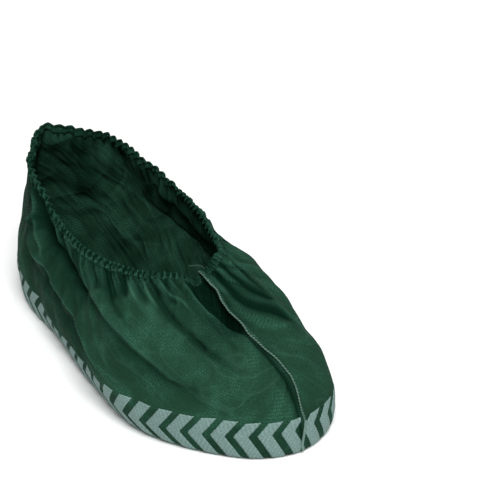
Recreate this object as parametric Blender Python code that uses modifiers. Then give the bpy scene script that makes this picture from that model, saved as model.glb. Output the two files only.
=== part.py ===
"""Disposable shoe cover, in the form that it takes when it is worn.

One blank of nonwoven fabric is folded under the sole, so that its fold runs from toe to heel. A toe seam
and a heel seam close its two ends, and an elastic hem gathers the opening round the instep and the ankle.
The toe points to -Y, +Z is up, and the wearer's right is -X. The origin is the middle of the inner sole
face, where the sole of the foot stands. Tables are in millimetres from the ground, and the model is in
metres.

A place on the wall is given by two shares: around, from 0 at the toe seam past the wearer's right to 0.5 at
the heel seam and on to 1, and up, from 0 at the sole's edge to 1 at the opening's edge.
"""
from collections import namedtuple

import bpy
import numpy as np

MM = 0.001
COLLECTION = "disposable_shoe_cover"

# Thicknesses and gaps, in millimetres.
CLOTH_WALL = 1.0
HEM_HEIGHT = 8.0
HEM_WALL = 2.2
HEM_PROUD = 0.6
HEM_GAP = 0.8
SEAM_STANDS = 4.5
SEAM_WALL = 1.4
SEAM_GAP = 0.3
SEAM_FOOT_LIFT = 3.0
SEAM_STEP_BELOW_HEM = (2.0, 1.2)
SOLE_EDGE_RADIUS = 5.0

# How finely the cloth is divided.
HOOPS = 54
WALL_ROWS = 14
EDGE_ROWS = 3
SOLE_COLUMNS = 6
HEM_ROWS = 3
SEAM_ROWS = 22
ARC_STEPS = 80
SLOPE_SHARE = 0.003

# The wall at 14 places around the cover. It leaves the sole's edge towards a handle that stands foot_out
# out and foot_up up, and it comes to the opening's edge from a handle that stands lip_out out and lip_drop
# down, as a Bezier curve does.
Station = namedtuple("Station", "name around sole_x sole_y foot_out foot_up rim_x rim_y rim_z lip_out lip_drop")
STATIONS = (
    Station("toe", 0.000, 7, -160, 15, 66, 0, -63, 94, 48, 12),
    Station("right toe corner", 0.055, -29, -142, 21, 67, -14, -60, 95, 40, 6),
    Station("right ball", 0.150, -62, -82, 30, 44, -38, -37, 96, 31, 16),
    Station("right waist", 0.245, -60, -17, 20, 42, -47, 7, 96, 18, 23),
    Station("right shank", 0.340, -47, 50, 18, 42, -46, 49, 104, 16, 30),
    Station("right heel", 0.420, -40, 105, 11, 47, -37, 94, 118, 4, 33),
    Station("right heel corner", 0.468, -24, 139, 6, 52, -20, 121, 122, 4, 37),
    Station("heel", 0.500, 0, 155, 12, 52, 0, 134, 125, 10, 38),
    Station("left heel corner", 0.532, 24, 139, 10, 52, 20, 121, 122, 6, 37),
    Station("left heel", 0.580, 38, 105, 12, 48, 38, 94, 117, 8, 33),
    Station("left shank", 0.660, 38, 50, 14, 44, 46, 49, 105, 14, 28),
    Station("left waist", 0.755, 44, -15, 14, 44, 43, 6, 98, 16, 21),
    Station("left ball", 0.850, 54, -86, 21, 52, 29, -40, 96, 34, 11),
    Station("left toe corner", 0.945, 42, -145, 18, 48, 10, -61, 101, 34, 3),
)

# The main folds. Each runs through three places on the wall. Its width and rise are in millimetres, and a
# tuck has a negative rise.
Fold = namedtuple("Fold", "name around_1 up_1 around_2 up_2 around_3 up_3 width rise")
FOLDS = (
    Fold("tuck beside the toe seam", 0.034, 1.00, 0.026, 0.82, 0.006, 0.60, 10, -9),
    Fold("right instep ridge", 0.111, 1.00, 0.075, 0.84, 0.050, 0.70, 8, 4),
    Fold("right instep tuck", 0.122, 1.00, 0.086, 0.78, 0.046, 0.52, 9, -7),
    Fold("right forefoot crease", 0.162, 0.72, 0.126, 0.56, 0.090, 0.38, 10, 6),
    Fold("tuck under the forefoot crease", 0.175, 0.62, 0.140, 0.46, 0.104, 0.33, 11, -5),
    Fold("right upper tuck", 0.385, 0.82, 0.270, 0.80, 0.180, 0.74, 12, -8),
    Fold("right side crease", 0.400, 0.56, 0.275, 0.60, 0.174, 0.33, 10, 6),
    Fold("right heel crease", 0.440, 0.98, 0.395, 0.80, 0.418, 0.58, 9, 5),
    Fold("tuck behind the right heel", 0.462, 0.96, 0.448, 0.66, 0.440, 0.42, 9, -5),
    Fold("tuck behind the left heel", 0.530, 0.95, 0.538, 0.70, 0.532, 0.45, 9, -5),
    Fold("left heel crease", 0.560, 0.98, 0.580, 0.74, 0.562, 0.50, 10, 5),
    Fold("left side crease", 0.600, 0.62, 0.710, 0.56, 0.815, 0.36, 10, 6),
    Fold("left upper tuck", 0.620, 0.86, 0.720, 0.78, 0.820, 0.66, 11, -7),
    Fold("left waist ridge", 0.770, 0.98, 0.815, 0.78, 0.870, 0.54, 10, 5),
    Fold("left instep tuck", 0.890, 0.98, 0.928, 0.80, 0.925, 0.62, 9, -7),
    Fold("left toe ridge", 0.945, 1.00, 0.950, 0.80, 0.935, 0.60, 8, 4),
    Fold("tuck left of the toe seam", 0.972, 0.99, 0.966, 0.76, 0.950, 0.50, 9, -6),
)
FOLD_CREST_RADIUS = 4.0
FOLD_START_FADE = (-0.05, 0.25)
FOLD_END_FADE = (0.75, 1.12)
FOLDS_DIE_AT = (0.16, 0.34)
FOLDS_CALM_BY_SEAM = (2.0, 9.0)
FOLDS_HELD_AT_RIM = 0.85
FOLDS_HELD_FROM = (0.84, 0.96)
STARTS_AT_RIM = 0.94

# The elastic's gathers: uneven waves around the opening that die out down the wall.
GATHERS = 24
GATHER_RISE = 1.3
GATHER_UNEVEN = 1.7
GATHER_UNEVEN_WAVES = 3
GATHERS_FADE = (0.70, 1.0)

# Lengths that turn a place on the wall into millimetres, for the widths of folds.
GIRTH_AT_SOLE = 830.0
GIRTH_AT_RIM = 430.0
WALL_HEIGHT = 122.0

CLOTH_GREEN = (0.022, 0.082, 0.052, 1.0)
HEM_GREEN = (0.017, 0.062, 0.040, 1.0)
SEAM_GREEN = (0.085, 0.17, 0.135, 1.0)


def fade(value, start, end):
    """0 up to start, 1 from end on, and a smooth step between them."""
    share = np.clip((value - start) / (end - start), 0.0, 1.0)
    return share * share * (3.0 - 2.0 * share)


def read_stations(around):
    """Every column of STATIONS at these places around the cover, on a smooth closed curve."""
    table = np.array([row[1:] for row in STATIONS], dtype=float)
    place = table[:, 0]
    knots = np.concatenate([[place[-1] - 1.0], place, place[:2] + 1.0])
    values = np.concatenate([table[-1:, 1:], table[:, 1:], table[:2, 1:]])
    slopes = (values[2:] - values[:-2]) / (knots[2:] - knots[:-2])[:, None]
    wrapped = np.asarray(around) % 1.0
    row = np.clip(np.searchsorted(place, wrapped, side="right") - 1, 0, len(place) - 1)
    step = (knots[row + 2] - knots[row + 1])[:, None]
    t = (wrapped - knots[row + 1])[:, None] / step
    smooth = (
        (2 * t**3 - 3 * t**2 + 1) * values[row + 1]
        + (t**3 - 2 * t**2 + t) * step * slopes[row]
        + (3 * t**2 - 2 * t**3) * values[row + 2]
        + (t**3 - t**2) * step * slopes[row + 1]
    )
    return dict(zip(Station._fields[2:], smooth.T))


def outward(around, x_column, y_column):
    """Level unit vectors that point out of the closed outline in these two columns."""
    ahead = read_stations(around + SLOPE_SHARE)
    behind = read_stations(around - SLOPE_SHARE)
    run_x = ahead[x_column] - behind[x_column]
    run_y = ahead[y_column] - behind[y_column]
    # The places run clockwise seen from above, so the outside is on the left of the run.
    left = np.stack([-run_y, run_x, np.zeros(len(run_x))], axis=1)
    return left / np.linalg.norm(left, axis=1)[:, None]


def smooth_wall(around, up):
    """The wall without its folds, a row of points for each place around, and each row's full length."""
    size = read_stations(around)
    foot = np.stack([size["sole_x"], size["sole_y"], np.zeros(len(around))], axis=1)
    foot_handle = foot + outward(around, "sole_x", "sole_y") * size["foot_out"][:, None]
    foot_handle[:, 2] += size["foot_up"]
    rim = np.stack([size["rim_x"], size["rim_y"], size["rim_z"]], axis=1)
    lip_handle = rim + outward(around, "rim_x", "rim_y") * size["lip_out"][:, None]
    lip_handle[:, 2] -= size["lip_drop"]
    t = np.linspace(0.0, 1.0, ARC_STEPS)[None, :, None]
    path = (
        (1 - t) ** 3 * foot[:, None]
        + 3 * (1 - t) ** 2 * t * foot_handle[:, None]
        + 3 * (1 - t) * t**2 * lip_handle[:, None]
        + t**3 * rim[:, None]
    )
    length = np.cumsum(np.linalg.norm(np.diff(path, axis=1), axis=2), axis=1)
    length = np.concatenate([np.zeros((len(foot), 1)), length], axis=1)
    heights = np.broadcast_to(up, (len(foot), np.shape(up)[-1]))
    wall = np.empty(heights.shape + (3,))
    for index, height in enumerate(heights):
        for axis in range(3):
            wall[index, :, axis] = np.interp(height * length[index, -1], length[index], path[index, :, axis])
    return wall, length[:, -1]


def girth_at(up):
    """The way around the wall at this height, in millimetres."""
    return GIRTH_AT_SOLE + (GIRTH_AT_RIM - GIRTH_AT_SOLE) * up


def fold_crest(fold, around, up):
    """One fold's height as a share of its rise: full along its line, and less beside and beyond it."""
    middle = fold.around_2
    along = ((around - middle + 0.5) % 1.0 - 0.5) * girth_at(up)
    here = np.stack([along, up * WALL_HEIGHT], axis=-1)
    line = []
    for place, height in ((fold.around_1, fold.up_1), (middle, fold.up_2), (fold.around_3, fold.up_3)):
        line.append(np.array([(place - middle) * girth_at(height), height * WALL_HEIGHT]))
    lengths = [np.linalg.norm(line[1] - line[0]), np.linalg.norm(line[2] - line[1])]
    distance = np.full(along.shape, np.inf)
    share = np.zeros(along.shape)
    for index in range(2):
        run = line[index + 1] - line[index]
        t = np.clip(((here - line[index]) @ run) / (run @ run), 0.0, 1.0)
        reach = np.linalg.norm(here - (line[index] + t[..., None] * run), axis=-1)
        nearer = reach < distance
        distance = np.where(nearer, reach, distance)
        share = np.where(nearer, (sum(lengths[:index]) + t * lengths[index]) / sum(lengths), share)
    crest = np.exp((FOLD_CREST_RADIUS - np.hypot(distance, FOLD_CREST_RADIUS)) / fold.width)
    if fold.up_1 < STARTS_AT_RIM:
        crest *= fade(share, *FOLD_START_FADE)
    return crest * (1.0 - fade(share, *FOLD_END_FADE))


def cloth_rise(around, up):
    """How far the folds and gathers lift the cloth off the smooth wall, in millimetres."""
    rise = sum(fold.rise * fold_crest(fold, around, up) for fold in FOLDS)
    from_seam = np.abs((2.0 * around + 0.5) % 1.0 - 0.5) / 2.0 * girth_at(up)
    rise *= fade(up, *FOLDS_DIE_AT) * fade(from_seam, *FOLDS_CALM_BY_SEAM)
    rise *= 1.0 - FOLDS_HELD_AT_RIM * fade(up, *FOLDS_HELD_FROM)
    turn = 2.0 * np.pi * around
    gathers = np.sin(GATHERS * turn + GATHER_UNEVEN * np.sin(GATHER_UNEVEN_WAVES * turn))
    return rise + GATHER_RISE * gathers * fade(up, *GATHERS_FADE)


def wall_points(around, up, proud=0.0):
    """The outer face of the wall with its folds, lifted by proud, and the unit vectors that point out of it."""
    wall, _ = smooth_wall(around, up)
    ahead, _ = smooth_wall(around + SLOPE_SHARE, up)
    behind, _ = smooth_wall(around - SLOPE_SHARE, up)
    higher, _ = smooth_wall(around, np.minimum(up + SLOPE_SHARE, 1.0))
    lower, _ = smooth_wall(around, np.maximum(up - SLOPE_SHARE, 0.0))
    normal = np.cross(higher - lower, ahead - behind)
    normal /= np.linalg.norm(normal, axis=2)[..., None]
    rise = cloth_rise(around[:, None], np.broadcast_to(up, wall.shape[:2]))
    return wall + normal * (rise + proud)[..., None], normal


def wall_lengths(around):
    """The length of the wall from the sole's edge to the opening's edge, in millimetres."""
    return smooth_wall(around, np.array([0.0]))[1]


def add_cloth(name, points, faces, colour, roughness, thickness, offset):
    """A sheet of faces, in millimetres from the ground, made into a closed wall of this thickness."""
    above_seat = (np.asarray(points) - np.array([0.0, 0.0, CLOTH_WALL])) * MM
    mesh = bpy.data.meshes.new(name)
    mesh.from_pydata(above_seat.tolist(), [], faces)
    mesh.shade_smooth()
    piece = bpy.data.objects.new(name, mesh)
    bpy.data.collections[COLLECTION].objects.link(piece)
    wall = piece.modifiers.new("cloth wall", "SOLIDIFY")
    wall.thickness = thickness * MM
    wall.offset = offset
    wall.use_even_offset = True
    wall.thickness_clamp = 0.8
    material = bpy.data.materials.new(name)
    material.use_nodes = True
    material.diffuse_color = colour
    shader = material.node_tree.nodes["Principled BSDF"]
    shader.inputs["Base Color"].default_value = colour
    shader.inputs["Roughness"].default_value = roughness
    mesh.materials.append(material)
    return piece


def half_hoops(places):
    """One side of each hoop of cloth: round the sole's edge, then up the wall to just under the hem."""
    lengths = wall_lengths(places)
    first = SOLE_EDGE_RADIUS / lengths
    last = 1.0 - (HEM_HEIGHT + HEM_GAP) / lengths
    up = first[:, None] + np.linspace(0.0, 1.0, WALL_ROWS)[None, :] * (last - first)[:, None]
    wall, _ = wall_points(places, up)
    foot, _ = smooth_wall(places, np.array([0.0]))
    inner = foot - outward(places, "sole_x", "sole_y")[:, None] * SOLE_EDGE_RADIUS
    t = (np.arange(EDGE_ROWS) / EDGE_ROWS)[None, :, None]
    corner = (1 - t) ** 2 * inner + 2 * (1 - t) * t * foot + t**2 * wall[:, :1]
    return np.concatenate([corner, wall], axis=1)


def build_cloth_body():
    """The folded blank: hoops of cloth that run down one side, across under the sole and up the other."""
    places = np.arange(HOOPS + 1) * (0.5 / HOOPS)
    right = half_hoops(places)
    left = half_hoops((1.0 - places) % 1.0)
    across = (np.arange(1, SOLE_COLUMNS) / SOLE_COLUMNS)[None, :, None]
    sole = right[:, :1] * (1 - across) + left[:, :1] * across
    hoops = np.concatenate([right[:, ::-1], sole, left], axis=1)
    rows, columns = hoops.shape[:2]
    number = np.arange(rows * columns).reshape(rows, columns)
    # The toe and heel seams close the two ends, so there both sides of a hoop share one line of points.
    side = right.shape[1]
    for end in (0, -1):
        closed = number[end, :side][::-1].copy()
        number[end, side - 1:columns - side + 1] = closed[0]
        number[end, columns - side:] = closed
    kept, number = np.unique(number, return_inverse=True)
    number = number.reshape(rows, columns)
    faces = []
    for i in range(rows - 1):
        for j in range(columns - 1):
            loop = (number[i, j], number[i + 1, j], number[i + 1, j + 1], number[i, j + 1])
            corners = [int(point) for k, point in enumerate(loop) if point != loop[k - 1]]
            if len(corners) > 2:
                faces.append(corners)
    return add_cloth("cloth_body", hoops.reshape(-1, 3)[kept], faces, CLOTH_GREEN, 0.75, CLOTH_WALL, -1.0)


def build_elastic_hem():
    """The opening's edge, turned over an elastic thread: a thicker band round the top of the wall."""
    count = 2 * HOOPS
    places = np.arange(count) / count
    share = HEM_HEIGHT / wall_lengths(places)
    up = 1.0 - share[:, None] * (1.0 - np.linspace(0.0, 1.0, HEM_ROWS)[None, :])
    band, _ = wall_points(places, up, HEM_PROUD)
    faces = []
    for i in range(count):
        here = HEM_ROWS * i
        ahead = HEM_ROWS * ((i + 1) % count)
        for j in range(HEM_ROWS - 1):
            faces.append([here + j, here + j + 1, ahead + j + 1, ahead + j])
    return add_cloth("elastic_hem", band.reshape(-1, 3), faces, HEM_GREEN, 0.8, HEM_WALL, -1.0)


def build_seam(name, place):
    """An overlocked seam allowance: a narrow fin of doubled cloth that stands out along one end."""
    around = np.array([place])
    length = wall_lengths(around)[0]
    hem_foot = 1.0 - HEM_HEIGHT / length
    step_start, step_end = (hem_foot - below / length for below in SEAM_STEP_BELOW_HEM)
    on_body = np.linspace(SEAM_FOOT_LIFT / length, step_start, SEAM_ROWS)
    up = np.concatenate([on_body, [step_end, 1.0]])
    gap = np.concatenate([np.full(SEAM_ROWS, SEAM_GAP), np.full(2, SEAM_GAP + HEM_PROUD)])
    skin, normal = wall_points(around, up)
    # The fin stands in the plane of its seam line, so the sideways part of the cloth's normal is dropped.
    stand = normal[0] * np.array([0.0, 1.0, 1.0])
    stand /= np.linalg.norm(stand, axis=1)[:, None]
    root = skin[0] + stand * gap[:, None]
    edge = skin[0] + stand * (SEAM_GAP + SEAM_STANDS)
    count = len(up)
    faces = [[i, i + 1, count + i + 1, count + i] for i in range(count - 1)]
    return add_cloth(name, np.concatenate([root, edge]), faces, SEAM_GREEN, 0.85, SEAM_WALL, 0.0)


def main():
    for thing in list(bpy.data.objects):
        bpy.data.objects.remove(thing, do_unlink=True)
    collection = bpy.data.collections.new(COLLECTION)
    bpy.context.scene.collection.children.link(collection)
    build_cloth_body()
    build_elastic_hem()
    build_seam("toe_seam", 0.0)
    build_seam("heel_seam", 0.5)


main()
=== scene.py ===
"""Disposable shoe cover of green nonwoven, in the form that a worn shoe gives it.

The file follows the cover as it is put together: the cloth body, the elastic hem, the overlocked end seams,
the thread tail and the printed tread, and then the floor, the light and the camera. Tables are in
millimetres from the ground, with the toe towards -Y and the wearer's right towards -X.

A place on the wall is given by two shares: around, from 0 at the toe seam past the wearer's right to 0.5 at
the heel seam and on to 1, and up, from 0 at the sole's edge to 1 at the opening's edge.
"""
import math
import random
from collections import namedtuple
from functools import partial

import bpy
import numpy as np
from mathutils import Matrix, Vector


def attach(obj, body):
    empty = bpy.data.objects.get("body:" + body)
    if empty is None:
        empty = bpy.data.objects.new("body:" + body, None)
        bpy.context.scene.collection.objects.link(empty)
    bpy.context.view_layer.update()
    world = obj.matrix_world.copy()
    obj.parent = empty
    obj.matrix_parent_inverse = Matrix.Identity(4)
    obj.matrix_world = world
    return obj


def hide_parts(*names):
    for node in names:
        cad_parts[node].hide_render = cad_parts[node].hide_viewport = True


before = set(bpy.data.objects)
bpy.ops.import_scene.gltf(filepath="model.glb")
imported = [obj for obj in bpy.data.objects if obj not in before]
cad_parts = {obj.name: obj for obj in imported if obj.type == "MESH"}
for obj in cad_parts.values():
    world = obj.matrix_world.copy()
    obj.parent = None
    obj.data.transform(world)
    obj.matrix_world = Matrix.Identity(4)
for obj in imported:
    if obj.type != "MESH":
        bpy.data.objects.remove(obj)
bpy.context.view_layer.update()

# Cloth body. One blank of spunbond polypropylene nonwoven, folded under the sole and closed at both ends, so
# that hoops of it run from the opening down one side, across under the sole and up the other. A worn shoe
# gives it its form, the hem's elastic gathers it, and pressed creases from its packet cross its sides.
MM = 0.001
SOLE_DROP = 1.0
CLOTH_THICKNESS = 0.4
SOLE_EDGE_RADIUS = 5.0
BODY_ENDS_BELOW_RIM = 2.5
HOOPS = 290
HOOPS_CLOSER_AT_TOE = 0.35
RIGHT_WALL_ROWS = 90
LEFT_WALL_ROWS = 60
CORNER_ROWS = 5
SOLE_COLUMNS = 9
ARC_STEPS = 90
SLOPE_SHARE = 0.002
UNDER_PRINT = 0.3
GROUND_FADES = (26.0, 36.0)

# The wall at 14 places. It leaves the sole's edge towards a handle that stands foot_out out and foot_up up,
# and it comes to the opening's edge from a handle that stands lip_out out and lip_drop down.
Station = namedtuple(
    "Station", "name around sole_x sole_y foot_out foot_up rim_x rim_y rim_z lip_out lip_drop"
)
STATIONS = (
    Station("toe", 0.000, 7, -160, 15, 66, 0, -63, 94, 48, 12),
    Station("right toe corner", 0.055, -29, -142, 21, 67, -14, -60, 95, 40, 6),
    Station("right ball", 0.150, -62, -82, 30, 44, -38, -37, 96, 31, 16),
    Station("right waist", 0.245, -60, -17, 20, 42, -47, 7, 96, 18, 23),
    Station("right shank", 0.340, -47, 50, 18, 42, -46, 49, 104, 16, 30),
    Station("right heel", 0.420, -40, 105, 11, 47, -37, 94, 118, 4, 33),
    Station("right heel corner", 0.468, -24, 139, 6, 52, -20, 121, 122, 4, 37),
    Station("heel", 0.500, 0, 155, 12, 52, 0, 134, 125, 10, 38),
    Station("left heel corner", 0.532, 24, 139, 10, 52, 20, 121, 122, 6, 37),
    Station("left heel", 0.580, 38, 105, 12, 48, 38, 94, 117, 8, 33),
    Station("left shank", 0.660, 38, 50, 14, 44, 46, 49, 105, 14, 28),
    Station("left waist", 0.755, 44, -15, 14, 44, 43, 6, 98, 16, 21),
    Station("left ball", 0.850, 54, -86, 21, 52, 29, -40, 96, 34, 11),
    Station("left toe corner", 0.945, 42, -145, 18, 48, 10, -61, 101, 34, 3),
)
GIRTH_AT_SOLE = 830.0
GIRTH_AT_RIM = 430.0
WALL_HEIGHT = 122.0

# The folds that a hand would name. Each follows a line of places (around, up) from its upper end down, and
# it spreads over before towards smaller shares and over after towards larger ones. Its top is rounded over
# crest. A tuck's rise is negative, and the column after crest is how strongly painted shade darkens its
# cloth.
Fold = namedtuple("Fold", "name before after rise crest dark line")
FOLDS = (
    Fold("hollow beside the toe seam", 6, 11, -15, 2, 1.7,
         ((0.024, 1.02), (0.020, 0.88), (0.0145, 0.78), (0.0075, 0.67), (0.003, 0.59))),
    Fold("lip of that hollow", 2, 14, 5, 0.5, 0,
         ((0.060, 1.02), (0.050, 0.90), (0.041, 0.80), (0.027, 0.72), (0.003, 0.56))),
    Fold("instep ridge", 8, 3, 3, 0.5, 0, ((0.115, 1.02), (0.091, 0.88), (0.069, 0.82), (0.047, 0.72))),
    Fold("instep tuck", 2.4, 2.2, -4.8, 0.5, 0.75,
         ((0.124, 1.02), (0.104, 0.85), (0.084, 0.71), (0.062, 0.60), (0.047, 0.50), (0.037, 0.42))),
    Fold("tuck out of the hollow's lip", 1.6, 2.4, -2.4, 0.5, 0.6,
         ((0.040, 0.80), (0.036, 0.70), (0.033, 0.60), (0.030, 0.53))),
    Fold("groove beside the toe seam", 1, 1.1, -2.4, 0.3, 1,
         ((0.012, 0.80), (0.0085, 0.60), (0.006, 0.40), (0.0048, 0.16), (0.0026, 0.02), (0.0024, -0.28))),
    Fold("forefoot crease", 32, 6, 5, 0.8, 0,
         ((0.289, 0.80), (0.224, 0.80), (0.174, 0.73), (0.126, 0.56), (0.086, 0.37))),
    Fold("shade under the forefoot crease", 1.5, 4, -2.5, 0.5, 0.9,
         ((0.224, 0.775), (0.178, 0.71), (0.130, 0.54), (0.090, 0.355))),
    Fold("side hollow", 8, 13, -13, 2, 1, ((0.400, 0.84), (0.343, 0.81), (0.270, 0.79), (0.190, 0.74))),
    Fold("long side ridge", 8, 3, 3.5, 0.4, 0,
         ((0.400, 0.55), (0.330, 0.62), (0.242, 0.55), (0.194, 0.44), (0.165, 0.30))),
    Fold("shade under the long ridge", 1.2, 3, -1.8, 0.4, 0.7,
         ((0.390, 0.53), (0.332, 0.597), (0.246, 0.527), (0.198, 0.418), (0.169, 0.29))),
    Fold("hollow under the long ridge", 7, 14, -4, 2, 0.75,
         ((0.425, 0.56), (0.380, 0.50), (0.320, 0.52), (0.250, 0.44), (0.200, 0.33))),
    Fold("heel ridge", 4, 6, 5, 0.5, 0, ((0.425, 1.00), (0.392, 0.82), (0.415, 0.62))),
    Fold("fork of the heel ridge", 6, 3, 3, 0.5, 0, ((0.394, 0.81), (0.370, 0.72), (0.335, 0.64))),
    Fold("hollow between the heel ridges", 9, 9, -3, 2, 1.2, ((0.425, 0.78), (0.412, 0.67), (0.390, 0.61))),
    Fold("tuck under the right heel's hem", 9, 12, -6, 1.5, 1.5,
         ((0.378, 0.98), (0.362, 0.88), (0.330, 0.82))),
    Fold("shade behind the fork", 9, 11, -2, 2, 1.4,
         ((0.425, 0.98), (0.400, 0.91), (0.390, 0.82), (0.366, 0.72))),
    Fold("tuck behind the right heel", 14, 14, -5, 2, 0.8, ((0.462, 0.96), (0.448, 0.66), (0.440, 0.42))),
    Fold("hem pleat one", 2, 2.5, 3.2, 0.4, 0, ((0.160, 1.02), (0.140, 0.88), (0.123, 0.78))),
    Fold("hem pleat two", 2, 2.5, 3.0, 0.4, 0, ((0.132, 1.02), (0.119, 0.88), (0.100, 0.77))),
    Fold("tuck between the hem pleats", 2, 2, -2.5, 0.5, 0.8,
         ((0.146, 1.02), (0.129, 0.88), (0.112, 0.78))),
    Fold("ball hem tuck", 1.6, 2.4, -2.6, 0.4, 1.7, ((0.166, 1.02), (0.152, 0.89), (0.141, 0.82))),
    Fold("instep hem tuck", 1.6, 2, -2.2, 0.4, 1.7, ((0.100, 1.02), (0.087, 0.88), (0.074, 0.79))),
    Fold("waist hem tuck one", 1.6, 3, -2.4, 0.4, 1.7, ((0.196, 1.02), (0.180, 0.89), (0.156, 0.79))),
    Fold("waist hem tuck two", 1.6, 2.5, -2.6, 0.4, 1.7, ((0.226, 1.02), (0.211, 0.90), (0.181, 0.82))),
    Fold("waist hem tuck three", 2, 3, -2.6, 0.4, 1.7, ((0.264, 1.02), (0.256, 0.88), (0.226, 0.81))),
    Fold("shank hem tuck", 2, 3, -2.8, 0.4, 1.7, ((0.308, 1.02), (0.306, 0.89), (0.288, 0.79))),
    Fold("line over the tread", 5, 3, 0.9, 0.8, 0, ((0.120, 0.29), (0.080, 0.26), (0.037, 0.24))),
    Fold("line over that one", 4, 3, 0.7, 0.8, 0, ((0.104, 0.39), (0.076, 0.39), (0.037, 0.41))),
    Fold("toe dent", 3, 5, -0.9, 1, 0.1, ((0.087, 0.50), (0.060, 0.48), (0.038, 0.44))),
    Fold("pinch at the crease's end", 2, 3, -2.6, 0.5, 0.5,
         ((0.106, 0.42), (0.090, 0.385), (0.076, 0.375))),
    Fold("tuck left of the toe seam", 1.5, 1.7, -2.4, 0.4, 1.7,
         ((0.976, 1.02), (0.977, 0.90), (0.975, 0.80), (0.966, 0.71), (0.955, 0.62), (0.948, 0.50))),
    Fold("crease below that tuck", 3, 2, 1.8, 0.4, 0,
         ((0.951, 0.70), (0.947, 0.61), (0.944, 0.52), (0.943, 0.44))),
    Fold("second left tuck", 1.6, 2, -2.2, 0.4, 1.4,
         ((0.953, 1.02), (0.957, 0.88), (0.955, 0.80), (0.948, 0.70), (0.938, 0.60))),
    Fold("left instep tuck", 2.4, 2.6, -3.4, 0.5, 1.4,
         ((0.900, 1.02), (0.930, 0.88), (0.935, 0.76), (0.914, 0.66))),
    Fold("left toe ridge", 5, 3, 2, 0.5, 0, ((0.930, 1.02), (0.944, 0.86), (0.928, 0.60))),
    Fold("left instep hollow", 26, 20, -8, 8, 0,
         ((0.850, 1.02), (0.870, 0.88), (0.895, 0.72), (0.925, 0.54), (0.945, 0.36))),
    Fold("left waist ridge", 7, 12, 1.5, 0.4, 0, ((0.750, 1.00), (0.795, 0.78), (0.850, 0.54))),
    Fold("left upper tuck", 9, 9, -5, 1.5, 0.6, ((0.620, 0.84), (0.720, 0.79), (0.800, 0.68))),
    Fold("left side crease", 8, 4, 3.5, 0.4, 0, ((0.600, 0.62), (0.710, 0.56), (0.815, 0.36))),
    Fold("left heel ridge", 6, 6, 4, 0.6, 0, ((0.560, 1.00), (0.580, 0.74), (0.562, 0.50))),
    Fold("tuck behind the left heel", 8, 8, -4, 1.5, 0.7, ((0.530, 0.97), (0.538, 0.70), (0.532, 0.45))),
)
FOLD_REACH = 6.0
LINE_STEPS = 5
FOLD_START_FADE = (0.0, 0.18)
FOLD_END_FADE = (0.72, 1.0)
CREASE_LINE = 0.8
STARTS_AT_RIM = 0.94
FOLDS_DIE_AT = (0.14, 0.30)
FOLDS_CALM_BY_SEAM = (0.0, 3.0)
FOLDS_HELD_AT_RIM = 0.6
FOLDS_HELD_FROM = (0.88, 0.99)
# Painted shade and highlights: the depth of a drawn tuck that gets full shade, how far shade spreads from a
# crest, the sharpest crest for a full highlight, the share of shade that ridges standing clear lose, and the
# rise of a ridge for a full highlight.
TUCK_DEPTH = 4.5
TUCK_SPREAD = 0.6
SHARPEST = 0.4
CLEAR_OF_TUCK = 0.6
RIDGE_RISE = 2.5

# The closed ends stand proud as a soft ridge along their seams, and the cloth between the folds swells and
# sinks a little: a row here is a wave with so many crests round the cover and up its side.
SEAM_RIDGE = 1.8
SEAM_RIDGE_WIDTH = 12.0
Swell = namedtuple("Swell", "crests_round crests_up rise phase")
SWELLS = (
    Swell(9, 1.3, 0.6, 0.3),
    Swell(14, -2.1, 0.5, 1.9),
    Swell(23, 2.6, 0.35, 4.2),
    Swell(31, -3.7, 0.25, 2.6),
)

# The gathers draw the toe seam and the cloth beside it to the wearer's right, by so many millimetres at each
# share of its height.
SEAM_PULL = ((0.38, 0.0), (0.50, 3.5), (0.62, 7.0), (0.74, 7.5), (0.86, 3.5), (1.0, 1.5))
SEAM_PULL_WIDTH = 25.0

# The elastic's gathers: rounded folds with sharp valleys, in three sizes round the opening. The finest die
# out close under the hem, and all of them lean towards the toe on the wearer's right. Where the opening turns
# sharply at the toe they crowd, and calm is the share of their height that they lose there.
Gather = namedtuple("Gather", "waves rise fades_over uneven phase calm")
GATHERS = (
    Gather(21, 0.9, 58.0, 1.9, 0.4, 0.0),
    Gather(47, 1.4, 30.0, 2.6, 1.7, 0.3),
    Gather(98, 2.3, 24.0, 3.1, 2.9, 0.65),
)
TOE_TURN = 8.0
GATHER_HEIGHT = 0.85
GATHER_SWAYS = 0.35
GATHER_LEAN = 0.22
GATHER_LEAN_AT = 0.12
GATHERS_HELD = 0.4
GATHERS_FREE = (2.0, 8.0)
MEAN_OF_SINE = 0.64
# Painted shade in the gathers' valleys and painted highlights on their crests, and then painted shade on the
# band of cloth up to about 24 mm under the rim.
GATHER_VALLEY_SHADE = 1.5
GATHER_VALLEY = 0.2
GATHER_CREST_HIGHLIGHT = 0.5
GATHER_CREST_FROM = 0.85
SHADE_UNDER_HEM = 0.5
SHADE_UNDER_HEM_FADES = (3.0, 24.0)

# Small pleats that run out of the hem, and the faint creases that the packet pressed, both drawn by lot.
FOLD_SEED = 11
HEM_PLEATS = 64
PLEAT_STRAYS = 0.4
PLEAT_LENGTHS = (0.10, 0.34)
PLEAT_LEANS = (0.6, 1.3)
PLEAT_STARTS_AT = 1.03
PACKET_CREASES = 60
CREASE_HEIGHTS = (0.30, 0.80)
CREASE_HALVES = (0.012, 0.04)
CREASE_SLOPES = (1.2, 1.6)
CREASE_STRAYS = 0.01
LotFold = namedtuple("LotFold", "name rises widths crest")
HEM_PLEAT = LotFold("hem pleat", (0.7, 1.9), (1.5, 4.0), 0.4)
PACKET_CREASE = LotFold("packet crease", (0.3, 0.9), (3.0, 11.0), 0.3)


def fade(value, start, end):
    """0 up to start, 1 from end on, and a smooth step between them."""
    share = np.clip((value - start) / (end - start), 0.0, 1.0)
    return share * share * (3.0 - 2.0 * share)


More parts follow.
